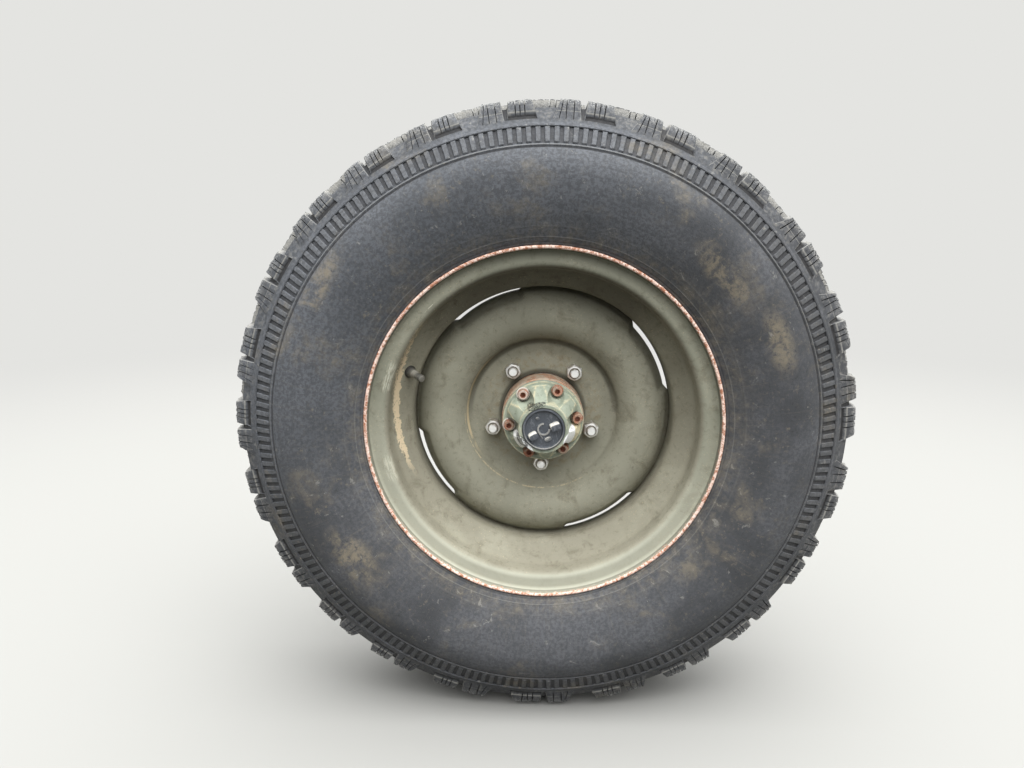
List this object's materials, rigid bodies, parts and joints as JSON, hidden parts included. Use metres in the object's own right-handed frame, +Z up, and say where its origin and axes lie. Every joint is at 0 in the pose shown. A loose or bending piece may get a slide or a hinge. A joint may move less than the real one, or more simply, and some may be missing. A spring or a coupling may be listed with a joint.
{
  "type": "front wheel end of a light military 4x4 vehicle",
  "caption": "All-terrain tyre on a pressed steel wheel, with its drum-braked hub, manual free-wheeling lock and the spindle it turns on.",
  "frame": {"origin": "centre of the spindle flange's face that bolts to the steering knuckle, on the axle's axis", "axes": "+Y along the axle towards the vehicle, so -Y is the wheel's outer side, +Z up, +X to the right seen from outside"},
  "size_m": [0.8018, 0.21, 0.8018],
  "materials": {
    "forged_steel": "forged, greasy, dull",
    "black_paint": "chipped black paint with dust",
    "cast_iron": "cast, brown with rust",
    "bearing_steel": "ground",
    "rusty_hub": "machined, thinly painted and rusted",
    "zinc": "zinc plated, weathered",
    "olive_paint": "matt, dusty, rubbed and rusty at the lip",
    "valve_rubber": "matt",
    "tyre_rubber": "worn, dusty",
    "green_paint": "thick brush paint, scratched to the metal",
    "screw_steel": "surface rust",
    "dial_plastic": "moulded, scuffed"
  },
  "bodies": {
    "spindle": {"spindle": "forged_steel", "backing_plate": "black_paint", "wheel_cylinder": "cast_iron", "inner_bearing": "bearing_steel", "outer_bearing": "bearing_steel", "bearing_nut": "bearing_steel"},
    "wheel": {"hub": "rusty_hub", "brake_drum": "cast_iron", "wheel_studs": "zinc", "wheel_nuts": "zinc", "wheel_disc": "olive_paint", "rim": "olive_paint", "valve": "valve_rubber", "tyre": "tyre_rubber", "lock_body": "green_paint", "lock_screws": "screw_steel", "lock_dial": "dial_plastic"}
  },
  "joints": [
    {"name": "wheel_spin", "type": "hinge", "parent": "spindle", "child": "wheel", "pos_m": [0, -0.08, 0], "axis": [0, 1, 0], "continuous": true}
  ]
}
